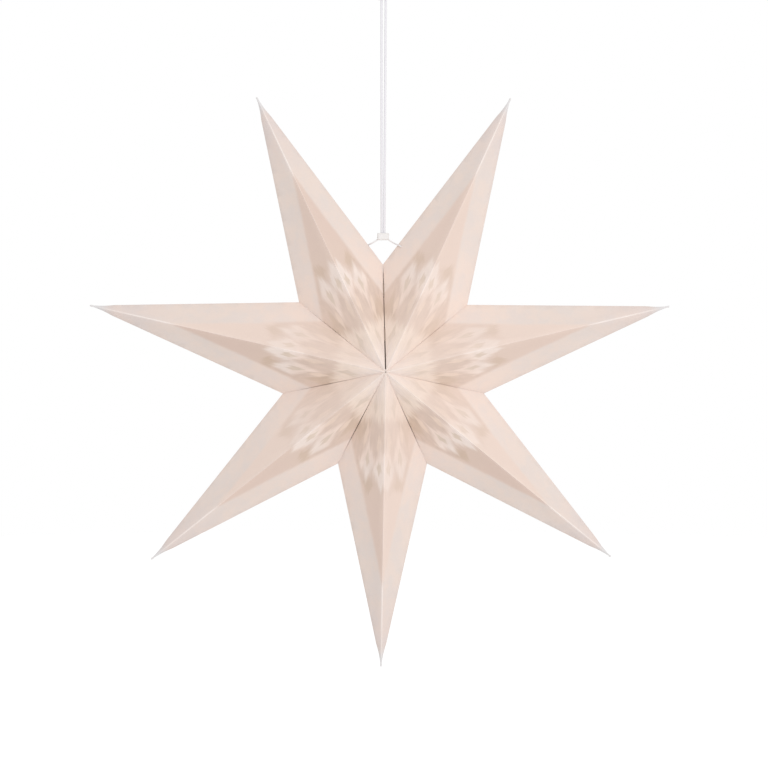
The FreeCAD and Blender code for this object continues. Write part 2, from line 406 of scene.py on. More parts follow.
# %% Lean the corners and press the tips
# How far each tip and each notch leans to the right and up, in millimetres, clockwise from the top
TIP_LEANS = [(-2.5, 2.2), (-3.1, -2.5), (-2.8, -2.2), (-0.8, 0), (2.7, -3.7), (0, -3.2), (3.5, 1.4)]
NOTCH_LEANS = [(0, 0), (2.5, -0.5), (-0.7, -0.4), (-0.8, 0.5), (1.2, 0.6), (2.8, -0.7), (-1.5, 1.6)]
PINCH_FROM = 0.275
PINCH_FULL = 0.289
PINCH_SHARE = 0.2
PINCH_LIMIT = 5.5
STRIP_HALF_WIDTH = 0.00085
STRIP_HALF_DEPTH = 0.0006
APEX_HEIGHT = 0.0001


def corner_shares(place):
    """How near a place on the sheet is to the notch on its side and to the tip, each from 0 to 1."""
    to_notch = abs(place.x) / NOTCH.x
    to_tip = max(0.0, (place.z - NOTCH.z * to_notch) / TIP_RADIUS)
    return to_notch, to_tip


def seam_beside(place, number):
    """The seam on a place's side of its sheet, counted clockwise from the closing seam, which is 0."""
    return number - 1 if place.x < 0 else number % POINT_COUNT


def leaning(place, number):
    """How far the star's unevenness moves a place of the straight sheet, once it is turned."""
    to_notch, to_tip = corner_shares(place)
    notch_right, notch_up = NOTCH_LEANS[seam_beside(place, number)]
    tip_right, tip_up = TIP_LEANS[number - 1]
    right = notch_right * to_notch + tip_right * to_tip
    up = notch_up * to_notch + tip_up * to_tip
    return Vector((right, 0, up)) * MM


def smooth_step(value, start, end):
    share = min(1.0, max(0.0, (value - start) / (end - start)))
    return share * share * (3 - 2 * share)


def pinched(place):
    """The place after the tip is pressed narrow."""
    if not PINCH_FROM < place.z < TIP_RADIUS - APEX_HEIGHT:
        return place.copy()
    left_over = 1 - place.z / TIP_RADIUS
    kept = 1 - PINCH_SHARE * smooth_step(place.z, PINCH_FROM, PINCH_FULL)
    width = left_over * TIP_RADIUS * EDGE_SLOPE
    depth = left_over * HALF_DEPTH
    across = max(kept, min(STRIP_HALF_WIDTH / width, PINCH_LIMIT))
    through = max(kept, min(STRIP_HALF_DEPTH / depth, PINCH_LIMIT))
    return Vector((place.x * across, place.y * through, place.z))


print("largest lean of a tip:", round(max(math.hypot(*lean) for lean in TIP_LEANS), 1), "mm")

# %% [markdown]
# ## Seams stand open a little
#
# Where two sheets are glued, the fold stands off its neighbour in the middle of the seam, which shows as a
# dark line that fades towards the hub. The closing seam at the top is held open by foam pads, so its line is
# the darkest. It starts a few millimetres from the hub, where the two sheets meet again.

# %% Say how far each seam is open
CLOSING_GAP = 0.0006
CLOSING_LIP_OUTER = 0.00034
CLOSING_LIP_INNER = 0.00055
# Where the closing seam opens, narrows and touches again, as shares of the way from the hub to the notch
CLOSING_OPENS = (0.019, 0.029)
CLOSING_NARROWS = (0.36, 0.39)
CLOSING_TOUCHES = (0.92, 1.0)
TOUCHING_SHARE = 0.9
SEAM_MIDDLE = 0.55
SEAM_SPREAD = 0.26
SEAM_FADE = 6
# Half of each glued seam's opening in its middle, clockwise from the closing seam, which has its own lips
SEAM_OPENINGS = [0.0, 0.0001, 0.00012, 0.00026, 0.00034, 0.0002, 0.00014]


def seam_gap(seam, share):
    """Half of the seam's opening at its lip and down at the flange, for a share of the way out."""
    if seam == 0:
        lip = CLOSING_LIP_INNER
        lip += (CLOSING_LIP_OUTER - lip) * smooth_step(share, *CLOSING_NARROWS)
        lip *= 1 - TOUCHING_SHARE * smooth_step(share, *CLOSING_TOUCHES)
        lip *= smooth_step(share, *CLOSING_OPENS)
        return lip, CLOSING_GAP
    bump = math.exp(-((share - SEAM_MIDDLE) / SEAM_SPREAD) ** 2)
    return SEAM_OPENINGS[seam] * bump * min(1.0, max(0.0, (1 - share) * SEAM_FADE)), 0.0


print("half openings in the middle, mm:", [round(seam_gap(k, 0.5)[0] / MM, 2) for k in range(POINT_COUNT)])

# %% [markdown]
# ## Paper is never quite flat
#
# Between its folds each panel bows in by a fraction of a millimetre and waves a little. Near an open seam the
# panel also slides back from the seam in its own plane, so that the lip stays a straight, clean fold.

# %% Bend the sheet
BOW = 0.0009
WAVE = 0.0007
WAVE_SCALE = 26.0
FACE_OFFSET = 3.0
SHEET_OFFSET = 7.3
SEAM_REACH = 0.009
GLUED_FROM = FLANGE_WIDTH / 3
TINY = 1e-9

# Directions for the front right panel: across its seam, and from the seam into the panel
PANEL_DISTANCE = PANEL_NORMAL.z * TIP_RADIUS
SEAM_NORMAL = Vector((math.cos(HALF_ANGLE), 0, -math.sin(HALF_ANGLE)))
SEAM_INTO_PANEL = PANEL_NORMAL.cross(NOTCH - FRONT).normalized()
if SEAM_INTO_PANEL.dot(SEAM_NORMAL) > 0:
    SEAM_INTO_PANEL = -SEAM_INTO_PANEL
SLIDE_PER_GAP = 1 / -SEAM_INTO_PANEL.dot(SEAM_NORMAL)


def middleness(place):
    """1 in a panel's middle, where its three corner shares multiply to 1/27, and 0 on its edges."""
    to_notch, to_tip = corner_shares(place)
    return max(0.0, 27 * to_notch * to_tip * (1 - to_notch - to_tip))


def bent(place, number):
    """Where a corner of the straight sheet goes, still on the straight sheet."""
    side = -1 if place.x < 0 else 1
    face = 1 if place.y > 0 else -1
    p = Vector((abs(place.x), -abs(place.y), place.z))
    lip, deep = seam_gap(seam_beside(place, number), math.hypot(p.x, p.z) / NOTCH_RADIUS)
    from_seam = max(0.0, -p.dot(SEAM_NORMAL))
    under_panel = max(0.0, PANEL_DISTANCE - p.dot(PANEL_NORMAL))
    if under_panel > FOLD_RADIUS and from_seam < FOLD_RADIUS:
        glued = min(1.0, under_panel / GLUED_FROM)
        p -= SEAM_NORMAL * (lip + (deep - lip) * glued)
    else:
        free = p.x / (p.x + from_seam + TINY)
        p += SEAM_INTO_PANEL * SLIDE_PER_GAP * lip * free * math.exp(-(from_seam / SEAM_REACH) ** 2)
    middle = middleness(place)
    spot = Vector((place.x, face * FACE_OFFSET, place.z)) * WAVE_SCALE + Vector((number * SHEET_OFFSET, 0, 0))
    p += PANEL_NORMAL * (WAVE * noise.noise(spot) * min(1.0, 2 * middle) - BOW * middle)
    depth = min(-p.y, down_high.y)
    return Vector((p.x * side, depth * face, p.z))


print("a panel slides", round(SLIDE_PER_GAP, 3), "times as far as its side of the seam opens")

# %% [markdown]
# ## Seven sheets
#
# The print is the same on every sheet, so it is drawn once, in a UV map that runs along the ridge and across
# it. The map is written while the sheet still stands straight up, before it is bent and turned.
#
# The print isn't equally strong everywhere: on the halves that look up or to the right, where the light falls,
# it is washed pale as a painted sheen, and one sheet keeps strong print on both halves. Each half's strength
# goes into an attribute that the material reads.

# %% Make the seven sheets
UV_SPAN = 0.3
SHEET_SMOOTH = math.radians(28)
# How strong the print is on the left and the right half of each sheet, clockwise from the top; a low value
# paints a sheen on a half that faces the light
PRINT_UNDER_PAINTED_SHEEN = [(0.6, 0.35), (0.1, 0.7), (0.2, 1.0), (0.15, 0.75), (0.85, 0.0), (1.0, 0.1), (0.75, 0.85)]


def write_print_map(bm, number):
    uv = bm.loops.layers.uv.new("print")
    print_under_painted_sheen = bm.faces.layers.float.new("print_under_painted_sheen")
    # Each half's print strength: a low value paints a sheen on a half that faces the light
    left, right = PRINT_UNDER_PAINTED_SHEEN[number - 1]
    for face in bm.faces:
        face[print_under_painted_sheen] = left if face.calc_center_median().x < 0 else right
        for loop in face.loops:
            loop[uv].uv = (loop.vert.co.z / UV_SPAN, loop.vert.co.x / UV_SPAN + 0.5)


def finish_mesh(name, bm, smooth_angle=None):
    mesh = bpy.data.meshes.new(name)
    bm.to_mesh(mesh)
    bm.free()
    piece = bpy.data.objects.new(name, mesh)
    bpy.context.scene.collection.objects.link(piece)
    if smooth_angle is not None:
        mesh.shade_smooth()
        mesh.set_sharp_from_angle(angle=smooth_angle)
    return piece


def dressed_sheet(number):
    turn = Matrix.Rotation((2 * number - 1) * HALF_ANGLE, 3, "Y")
    bm = folded_sheet()
    if number in (1, POINT_COUNT):
        place, outward = hook_place(front=number == 1)
        punch_hole(bm, place - turn.transposed() @ leaning(place, number), outward)
    write_print_map(bm, number)
    for vert in bm.verts:
        vert.co = turn @ bent(pinched(vert.co), number) + leaning(vert.co, number)
    piece = finish_mesh(f"paper_point_{number}", bm, SHEET_SMOOTH)
    wall = piece.modifiers.new("paper", "SOLIDIFY")
    wall.thickness = PAPER
    wall.offset = -1
    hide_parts(f"point_{number}")
    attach(piece, "root")
    return piece


sheets = [dressed_sheet(number) for number in range(1, POINT_COUNT + 1)]
print("sheets:", len(sheets), "with", sum(len(s.data.polygons) for s in sheets), "faces")

# %% [markdown]
# ## Helpers for materials
#
# A material is a small network of nodes. These helpers keep each step to one line: one adds a node and feeds
# its inputs, one does a sum, one makes a soft step, and one blends two colours by a mask.

# %% Write the material helpers
WHITE = (1, 1, 1, 1)
MIX_FACTOR, MIX_FIRST, MIX_SECOND, MIX_RESULT = 0, 6, 7, 2


def feed(tree, socket, value):
    """Link a socket to another node's output, or set its value."""
    if isinstance(value, bpy.types.NodeSocket):
        tree.links.new(value, socket)
    else:
        socket.default_value = value


def add_node(tree, kind, settings=None, **inputs):
    made = tree.nodes.new(kind)
    for key, value in (settings or {}).items():
        setattr(made, key, value)
    for key, value in inputs.items():
        feed(tree, made.inputs[key.replace("_", " ")], value)
    return made


def sum_of(tree, operation, *values):
    made = add_node(tree, "ShaderNodeMath", {"operation": operation})
    for socket, value in zip(made.inputs, values):
        feed(tree, socket, value)
    return made.outputs[0]


def ramp(tree, value, start, end, low=0.0, high=1.0):
    """A soft step: low before start, high after end."""
    made = add_node(tree, "ShaderNodeMapRange", {"interpolation_type": "SMOOTHSTEP"}, Value=value,
                    From_Min=start, From_Max=end, To_Min=low, To_Max=high)
    return made.outputs[0]


def blend(tree, mask, first, second, mode="MIX"):
    made = add_node(tree, "ShaderNodeMix", {"data_type": "RGBA", "blend_type": mode})
    for index, value in ((MIX_FACTOR, mask), (MIX_FIRST, first), (MIX_SECOND, second)):
        feed(tree, made.inputs[index], value)
    return made.outputs[MIX_RESULT]


def new_group(name, inputs, outputs):
    """A node group with its sockets, still empty, and its two end nodes."""
    group = bpy.data.node_groups.new(name, "ShaderNodeTree")
    for title, kind, value in inputs:
        socket = group.interface.new_socket(title, in_out="INPUT", socket_type=kind)
        if value is not None:
            socket.default_value = value
    for title, kind in outputs:
        group.interface.new_socket(title, in_out="OUTPUT", socket_type=kind)
    return group, group.nodes.new("NodeGroupInput"), group.nodes.new("NodeGroupOutput")


def colour(red, green, blue):
    """A colour as it looks on a screen, from 0 to 255, for a node's linear socket."""
    parts = []
    for value in (red, green, blue):
        share = value / 255
        parts.append(share / 12.92 if share <= 0.04045 else ((share + 0.055) / 1.055) ** 2.4)
    return (*parts, 1.0)


def new_material(name):
    material = bpy.data.materials.new(name)
    material.use_nodes = True
    tree = material.node_tree
    surface = tree.nodes["Principled BSDF"]
    return material, tree, surface


print("paper white", [round(v, 3) for v in colour(233, 216, 208)])

# %% [markdown]
# ## Paper fibre
#
# Under any print, paper has a cloudy tone and a fine, flat fibre. Both are made in a node group, which puts
# out a cloud mask, a fibre mask and a height for bump. A material that uses it sets its own sizes.

# %% Make the fibre group
CLOUD_IN_HEIGHT = 0.6


def fibre_group():
    group, source, result = new_group(
        "paper_fibre",
        [("Position", "NodeSocketVector", None), ("Cloud scale", "NodeSocketFloat", 60.0),
         ("Fibre scale", "NodeSocketFloat", 900.0)],
        [("Cloud", "NodeSocketFloat"), ("Fibre", "NodeSocketFloat"), ("Height", "NodeSocketFloat")],
    )
    cloud = add_node(group, "ShaderNodeTexNoise", Vector=source.outputs["Position"],
                     Scale=source.outputs["Cloud scale"], Detail=3.0, Roughness=0.6)
    fibre = add_node(group, "ShaderNodeTexNoise", Vector=source.outputs["Position"],
                     Scale=source.outputs["Fibre scale"], Detail=4.0, Roughness=0.7, Distortion=1.5)
    height = sum_of(group, "MULTIPLY_ADD", cloud.outputs[0], CLOUD_IN_HEIGHT, fibre.outputs[0])
    feed(group, result.inputs["Cloud"], cloud.outputs[0])
    feed(group, result.inputs["Fibre"], fibre.outputs[0])
    feed(group, result.inputs["Height"], height)
    return group


fibre = fibre_group()
print("fibre group:", [s.name for s in fibre.interface.items_tree])

# %% [markdown]
# ## The print
#
# The sheets carry a soft woven-look pattern of a kind found in many countries: threads are dyed before they
# are woven, so every edge of the pattern feathers along the threads. A crown of pale lozenges with dark eyes
# stands on a darker ground, with smaller marks towards the pale hub. Beyond it lies a long plain wedge, and
# a paler margin follows the sheet's outer edge.
#
# Each mark is a lozenge: the distances along and across, each divided by the mark's half size, add up to one
# on its edge. A streaky noise is added to the distance along before anything is drawn, which feathers every
# edge at once. The marks and the streaks fan out from a place behind the hub.

# %% Place the marks of the print
FAN_CENTRE = 70.0
FAN_UNIT = 90.0
MARK_SOFTNESS = 0.32
# Each mark: middle along the ridge, middle across at the crown, half length, half width, in millimetres
CROWN = [(98, 3.6, 25, 7.6), (89, 17.2, 23, 7.8)]
EYES = [(95.5, 4.8, 9, 2.7), (88, 17.2, 9, 2.6), (33, 14.6, 11, 4.0)]
DASHES = [(70, 5.8, 12, 2.6), (62, 21.8, 12, 2.4)]
# The first dark mark lies along the seam: partly print, partly painted shade in the valley between the sheets
DARK_PRINT_AND_SEAM_SHADE_MARKS = [(52, 28, 20, 11), (114, 14.5, 12, 5.0)]


def mark(tree, along, lean, shape):
    """A lozenge's mask, soft at its edge."""
    middle, across, half_length, half_width = shape
    far_along = sum_of(tree, "ABSOLUTE", sum_of(tree, "SUBTRACT", along, middle))
    far_across = sum_of(tree, "ABSOLUTE", sum_of(tree, "SUBTRACT", lean, across))
    far_along = sum_of(tree, "DIVIDE", far_along, half_length)
    distance = sum_of(tree, "MULTIPLY_ADD", far_across, 1 / half_width, far_along)
    return ramp(tree, distance, 1.0 + MARK_SOFTNESS, 1.0 - MARK_SOFTNESS)


def marks(tree, along, lean, shapes):
    """All the lozenges of one kind in one mask."""
    mask = mark(tree, along, lean, shapes[0])
    for shape in shapes[1:]:
        mask = sum_of(tree, "MAXIMUM", mask, mark(tree, along, lean, shape))
    return mask


print("marks:", len(CROWN), "crown,", len(EYES), "eyes,", len(DASHES), "dashes,", len(DARK_PRINT_AND_SEAM_SHADE_MARKS), "dark")

# %% [markdown]
# ## From marks to masks
#
# Each part of the print becomes a mask, a value from 0 to 1 that says where it is. All masks use the same
# feathered distances, so that every edge follows the same threads.

# %% Draw the print's masks
# Noise along the threads: its scale across the fan, its scale along the sheet, and a seed
BROAD_STREAKS = (30.0, 0.02, 3.1)
FINE_STREAKS = (105.0, 0.03, 8.7)
PATCHES = (22.0, 0.07, 5.3)
FLECKS = (160.0, 0.09, 1.9)
BROAD_FEATHER = 20.0
FINE_FEATHER = 16.0
MARGIN_FEATHER = 2.0
SWAY = 0.03
MARGIN_START = 216.0
# Where each mask goes from 0 to 1, in millimetres
FIELD_EDGE = (-1.8, 1.8)
CROWN_EDGE = (1.0, 4.5)
WEDGE_EDGE = (115.0, 125.0)
INNER_EDGE = (54.0, 42.0)


def streaks(tree, fan, along, fan_scale, along_scale, seed):
    """A noise that is long along the sheet and narrow across it, about zero."""
    place = add_node(tree, "ShaderNodeCombineXYZ", X=sum_of(tree, "MULTIPLY", fan, fan_scale),
                     Y=sum_of(tree, "MULTIPLY", along, along_scale), Z=seed)
    made = add_node(tree, "ShaderNodeTexNoise", Vector=place.outputs[0], Scale=1.0, Detail=2.0,
                    Roughness=0.6)
    return sum_of(tree, "SUBTRACT", made.outputs[0], 0.5)


def print_masks(tree):
    uv = add_node(tree, "ShaderNodeUVMap", {"uv_map": "print"})
    split = add_node(tree, "ShaderNodeSeparateXYZ", Vector=uv.outputs[0])
    along = sum_of(tree, "MULTIPLY", split.outputs[0], UV_SPAN / MM)
    across = sum_of(tree, "MULTIPLY_ADD", split.outputs[1], UV_SPAN / MM, -UV_SPAN / MM / 2)
    width = sum_of(tree, "ABSOLUTE", across)
    fan = sum_of(tree, "DIVIDE", across, sum_of(tree, "ADD", along, FAN_CENTRE))
    broad = streaks(tree, fan, along, *BROAD_STREAKS)
    fine = streaks(tree, fan, along, *FINE_STREAKS)
    shifted = sum_of(tree, "MULTIPLY_ADD", broad, BROAD_FEATHER, along)
    shifted = sum_of(tree, "MULTIPLY_ADD", fine, FINE_FEATHER, shifted)
    swayed = sum_of(tree, "MULTIPLY_ADD", broad, SWAY, fan)
    lean = sum_of(tree, "MULTIPLY", sum_of(tree, "ABSOLUTE", swayed), FAN_CENTRE + FAN_UNIT)

    margin_line = sum_of(tree, "MULTIPLY", sum_of(tree, "SUBTRACT", MARGIN_START, along), EDGE_SLOPE)
    inside = sum_of(tree, "SUBTRACT", margin_line, width)
    inside = sum_of(tree, "MULTIPLY_ADD", fine, MARGIN_FEATHER, inside)
    return {
        "along": along,
        "width": width,
        "fine": fine,
        "broad": broad,
        "patchy": streaks(tree, fan, along, *PATCHES),
        "flecks": streaks(tree, fan, along, *FLECKS),
        "field": ramp(tree, inside, *FIELD_EDGE),
        "wedge": ramp(tree, shifted, *WEDGE_EDGE),
        "crown": sum_of(tree, "MULTIPLY", marks(tree, shifted, lean, CROWN), ramp(tree, inside, *CROWN_EDGE)),
        "inner": ramp(tree, shifted, *INNER_EDGE),
        "eye": marks(tree, shifted, lean, EYES),
        "dash": marks(tree, shifted, lean, DASHES),
        "dark": marks(tree, shifted, lean, DARK_PRINT_AND_SEAM_SHADE_MARKS),
    }


test_group = bpy.data.node_groups.new("mask_test", "ShaderNodeTree")
print("masks:", list(print_masks(test_group)))
bpy.data.node_groups.remove(test_group)

# %% [markdown]
# ## The print's colours
#
# The colours are laid over one another from the ground up, each through its mask. Where a painted sheen
# washes a half sheet pale, the marks keep more of their print than the plain wedge, so that half still shows them.

# %% Colour the print
MARGIN_NOTCH = colour(232, 216, 207)
MARGIN_COLOUR = colour(226, 212, 204)
MARGIN_TIP = colour(222, 208, 202)
STRIP_COLOUR = colour(220, 217, 217)
# The pale colour that the painted sheen washes the print towards
PAINTED_SHEEN_COLOUR = colour(231, 212, 201)
WEDGE_COLOUR = colour(217, 195, 183)
GROUND_COLOUR = colour(217, 196, 183)
# Dark print, also used as painted shade beside the seams
DARK_PRINT_AND_SEAM_SHADE_COLOUR = colour(208, 186, 169)
LOZENGE_INNER = colour(236, 217, 206)
LOZENGE_OUTER = colour(237, 223, 215)
INNER_COLOUR = colour(235, 218, 205)
EYE_COLOUR = colour(219, 202, 187)
DASH_COLOUR = colour(229, 208, 193)
HUB_COLOUR = colour(232, 218, 210)
FLECK_COLOUR = colour(240, 230, 228)
# Pale ridge colour: rubbed print and a painted highlight
RUB_AND_HIGHLIGHT_COLOUR = colour(243, 233, 227)
COOL_TINT = (0.972, 0.985, 0.998, 1.0)
WARM_TINT = (1.018, 1.0, 0.985, 1.0)
# Where, in millimetres from the hub, one tone goes over into the next
MARGIN_MIDDLE = (95.0, 175.0)
MARGIN_END = (200.0, 275.0)
STRIP_START = (276.0, 293.0)
LOZENGE_CHANGE = (80.0, 100.0)
WEDGE_CHANGE = (150.0, 110.0)
HUB_EDGE = (38.0, 10.0)
PATCHES_END = (125.0, 95.0)
FLECKS_END = (48.0, 8.0)
HUB_FEATHER = 40.0
PATCH_TONES = (0.955, 1.03)
FLECK_SHARE = 0.8
# How much of their print the marks keep under the painted sheen
MARKS_PRINT_SHARE_UNDER_SHEEN = 0.58
MARKS_PRINT_LEAST_UNDER_SHEEN = 0.4


def print_colour(tree, masks, cloud):
    along = masks["along"]
    margin = blend(tree, ramp(tree, along, *MARGIN_MIDDLE), MARGIN_NOTCH, MARGIN_COLOUR)
    margin = blend(tree, ramp(tree, along, *MARGIN_END), margin, MARGIN_TIP)
    margin = blend(tree, 1.0, margin, blend(tree, cloud, COOL_TINT, WARM_TINT), "MULTIPLY")
    margin = blend(tree, ramp(tree, along, *STRIP_START), margin, STRIP_COLOUR)
    # Dark marks: print, and painted shade beside the seams
    rows = blend(tree, masks["dark"], GROUND_COLOUR, DARK_PRINT_AND_SEAM_SHADE_COLOUR)
    rows = blend(tree, masks["dash"], rows, DASH_COLOUR)
    lozenge = blend(tree, ramp(tree, along, *LOZENGE_CHANGE), LOZENGE_INNER, LOZENGE_OUTER)
    rows = blend(tree, masks["crown"], rows, lozenge)
    rows = blend(tree, masks["inner"], rows, INNER_COLOUR)
    rows = blend(tree, masks["eye"], rows, EYE_COLOUR)
    wedge = blend(tree, ramp(tree, along, *WEDGE_CHANGE), WEDGE_COLOUR, GROUND_COLOUR)
    rows = blend(tree, masks["wedge"], rows, wedge)
    near_hub = ramp(tree, sum_of(tree, "MULTIPLY_ADD", masks["fine"], HUB_FEATHER, along), *HUB_EDGE)
    rows = blend(tree, near_hub, rows, HUB_COLOUR)
    uneven = ramp(tree, masks["patchy"], -0.2, 0.2, *PATCH_TONES)
    uneven = blend(tree, ramp(tree, along, *PATCHES_END), WHITE, uneven)
    rows = blend(tree, 1.0, rows, uneven, "MULTIPLY")
    fleck = sum_of(tree, "MULTIPLY", ramp(tree, masks["flecks"], 0.06, 0.2), ramp(tree, along, *FLECKS_END))
    rows = blend(tree, sum_of(tree, "MULTIPLY", fleck, FLECK_SHARE), rows, FLECK_COLOUR)
    # Painted sheen: the print is washed towards a pale colour on halves that face the light
    print_under_painted_sheen = add_node(tree, "ShaderNodeAttribute", {"attribute_type": "GEOMETRY", "attribute_name": "print_under_painted_sheen"})
    strength = sum_of(tree, "MULTIPLY_ADD", print_under_painted_sheen.outputs["Fac"], MARKS_PRINT_SHARE_UNDER_SHEEN, MARKS_PRINT_LEAST_UNDER_SHEEN)
    strength = blend(tree, masks["wedge"], strength, print_under_painted_sheen.outputs["Fac"])
    rows = blend(tree, strength, PAINTED_SHEEN_COLOUR, rows)
    return blend(tree, masks["field"], margin, rows)


print("darkest", [round(v, 2) for v in DARK_PRINT_AND_SEAM_SHADE_COLOUR[:3]], "palest", [round(v, 2) for v in RUB_AND_HIGHLIGHT_COLOUR[:3]])

# %% [markdown]
# ## Wear and a painted ridge highlight, threads and surface
#
# The ridge line is painted pale, more so in the crown and towards the tip: partly print that hands and folding
# rubbed off, partly a painted highlight where the fold catches the light.
# Threads and fibre then vary the tone by two or three parts in a hundred, and the fibre gives a faint bump.

# %% Make the printed paper
RIDGE_EDGE = (1.1, 0.3)
# Where the pale ridge line, rubbed print and painted highlight, lies along the sheet, in millimetres
OUTER_RUB_AND_HIGHLIGHT = (208.0, 222.0, 0.2, 0.8)
OUTER_RUB_AND_HIGHLIGHT_END = (291.0, 277.0)
CROWN_RUB_AND_HIGHLIGHT_MIDDLE = 98.0
CROWN_RUB_AND_HIGHLIGHT = (22.0, 14.0, 0.0, 0.5)
RUB_AND_HIGHLIGHT_PATCHES = (-0.2, 0.15, 0.5, 1.0)
THREADS_END = (135.0, 100.0)
TONES = (0.975, 1.015)
ROUGHNESS = (0.82, 0.94)


def rub_and_highlight_mask(tree, masks):
    """Where the ridge line is painted pale: print rubbed off by folding and handling, and a painted highlight along
    the fold.
    """
    on_ridge = ramp(tree, masks["width"], *RIDGE_EDGE)
    outer = ramp(tree, masks["along"], *OUTER_RUB_AND_HIGHLIGHT)
    outer = sum_of(tree, "MULTIPLY", outer, ramp(tree, masks["along"], *OUTER_RUB_AND_HIGHLIGHT_END))
    from_crown = sum_of(tree, "ABSOLUTE", sum_of(tree, "SUBTRACT", masks["along"], CROWN_RUB_AND_HIGHLIGHT_MIDDLE))
    in_crown = ramp(tree, from_crown, *CROWN_RUB_AND_HIGHLIGHT)
    uneven = ramp(tree, masks["broad"], *RUB_AND_HIGHLIGHT_PATCHES)
    rubbed_and_lit = sum_of(tree, "MULTIPLY", on_ridge, sum_of(tree, "MAXIMUM", outer, in_crown))
    return sum_of(tree, "MULTIPLY", rubbed_and_lit, uneven)


def shaded(tree, tint, shade):
    """A colour made a little lighter or darker by one value."""
    grey = add_node(tree, "ShaderNodeCombineColor", Red=shade, Green=shade, Blue=shade)
    return blend(tree, 1.0, tint, grey.outputs[0], "MULTIPLY")


def printed_paper():
    material, tree, surface = new_material("printed_paper")
    masks = print_masks(tree)
    place = add_node(tree, "ShaderNodeTexCoord")
    grain = add_node(tree, "ShaderNodeGroup", {"node_tree": fibre}, Position=place.outputs["Object"],
                     Cloud_scale=55.0, Fibre_scale=1100.0)
    cloud = ramp(tree, grain.outputs["Cloud"], 0.35, 0.65)
    printed = print_colour(tree, masks, cloud)
    # Paint the ridge line pale: rubbed print and a painted highlight along the fold
    printed = blend(tree, rub_and_highlight_mask(tree, masks), printed, RUB_AND_HIGHLIGHT_COLOUR)
    threads = ramp(tree, masks["fine"], -0.25, 0.25, *TONES)
    in_rows = sum_of(tree, "MULTIPLY", masks["field"], ramp(tree, masks["along"], *THREADS_END))
    printed = blend(tree, 1.0, printed, blend(tree, in_rows, WHITE, threads), "MULTIPLY")
    printed = shaded(tree, printed, ramp(tree, grain.outputs["Fibre"], 0.3, 0.7, *TONES))
    rough = ramp(tree, grain.outputs["Cloud"], 0.3, 0.7, *ROUGHNESS)
    bump = add_node(tree, "ShaderNodeBump", Height=grain.outputs["Height"], Strength=0.12, Distance=0.0002)
    feed(tree, surface.inputs["Base Color"], printed)
    feed(tree, surface.inputs["Roughness"], rough)
    feed(tree, surface.inputs["Specular IOR Level"], 0.25)
    feed(tree, surface.inputs["Normal"], bump.outputs[0])
    return material


paper_material = printed_paper()
for sheet in sheets:
    sheet.data.materials.append(paper_material)
print("print nodes:", len(paper_material.node_tree.nodes))

# %% [markdown]
# ## The light and the room
#
# The photograph is almost shadowless: a bright, even room, with a little more light from the right and
# above. The world gives the even part, and one large lamp the rest. The camera sees the world as pure white,
# and so do reflections. A pale floor lies below, out of the picture.

# %% Light the star
WORLD_LIGHT = 0.80
KEY_POWER = 34.0
KEY_PLACE = Vector((0.84, -2.9, 0.65))
KEY_SIZE = 1.6
FLOOR_DROP = 0.62
FLOOR_RADIUS = 4.0
FLOOR_SIDES = 96
FLOOR_GREY = (0.9, 0.9, 0.9, 1)
FLOOR_GLOW = 0.3


def seen_mask(tree):
    """1 for a ray that shows what it meets, straight, mirrored or through something clear, and 0 otherwise."""
    path = tree.nodes.new("ShaderNodeLightPath")
    seen = path.outputs["Is Camera Ray"]
    for kind in ("Is Glossy Ray", "Is Transmission Ray"):
        seen = sum_of(tree, "MAXIMUM", seen, path.outputs[kind])
    return seen


def add_world():
    world = bpy.data.worlds.new("soft_room")
    bpy.context.scene.world = world
    world.use_nodes = True
    tree = world.node_tree
    background = tree.nodes["Background"]
    feed(tree, background.inputs["Color"], WHITE)
    strength = sum_of(tree, "MULTIPLY_ADD", seen_mask(tree), 1 - WORLD_LIGHT, WORLD_LIGHT)
    feed(tree, background.inputs["Strength"], strength)


def add_lamp(name, place, power, size):
    data = bpy.data.lights.new(name, "AREA")
    data.energy = power
    data.size = size
    lamp = bpy.data.objects.new(name, data)
    bpy.context.scene.collection.objects.link(lamp)
    lamp.location = place
    lamp.rotation_euler = (-place).to_track_quat("-Z", "Y").to_euler()


def add_floor():
    bm = bmesh.new()
    bmesh.ops.create_circle(bm, cap_ends=True, radius=FLOOR_RADIUS, segments=FLOOR_SIDES)
    bmesh.ops.translate(bm, verts=bm.verts[:], vec=(0, 0, -FLOOR_DROP))
    floor = finish_mesh("floor", bm)
    material, tree, surface = new_material("pale_floor")
    feed(tree, surface.inputs["Base Color"], FLOOR_GREY)
    feed(tree, surface.inputs["Roughness"], 0.9)
    feed(tree, surface.inputs["Emission Color"], WHITE)
    feed(tree, surface.inputs["Emission Strength"], sum_of(tree, "MULTIPLY", seen_mask(tree), FLOOR_GLOW))
    floor.data.materials.append(material)


add_world()
add_lamp("key_lamp", KEY_PLACE, KEY_POWER, KEY_SIZE)
add_floor()
bpy.context.scene.view_settings.view_transform = "Standard"
print("world", WORLD_LIGHT, "key", KEY_POWER, "W")

# %% [markdown]
# ## The cord
#
# The cord is a fine round braid. A smooth tube with a painted braid would look flat from close by, so the
# tube's own surface carries the crossing strands. It starts as a straight tube, made by one spin that moves
# up instead of turning, and each of its rings is then laid on the cord's line.

# %% Make a braided tube
RINGS_PER_METRE = 1600
TUBE_SIDES = 24
BRAID_STRANDS = 4
BRAID_PITCH = 0.0062
BRAID_RELIEF = 0.0001
BRAID_SMOOTH = math.radians(50)


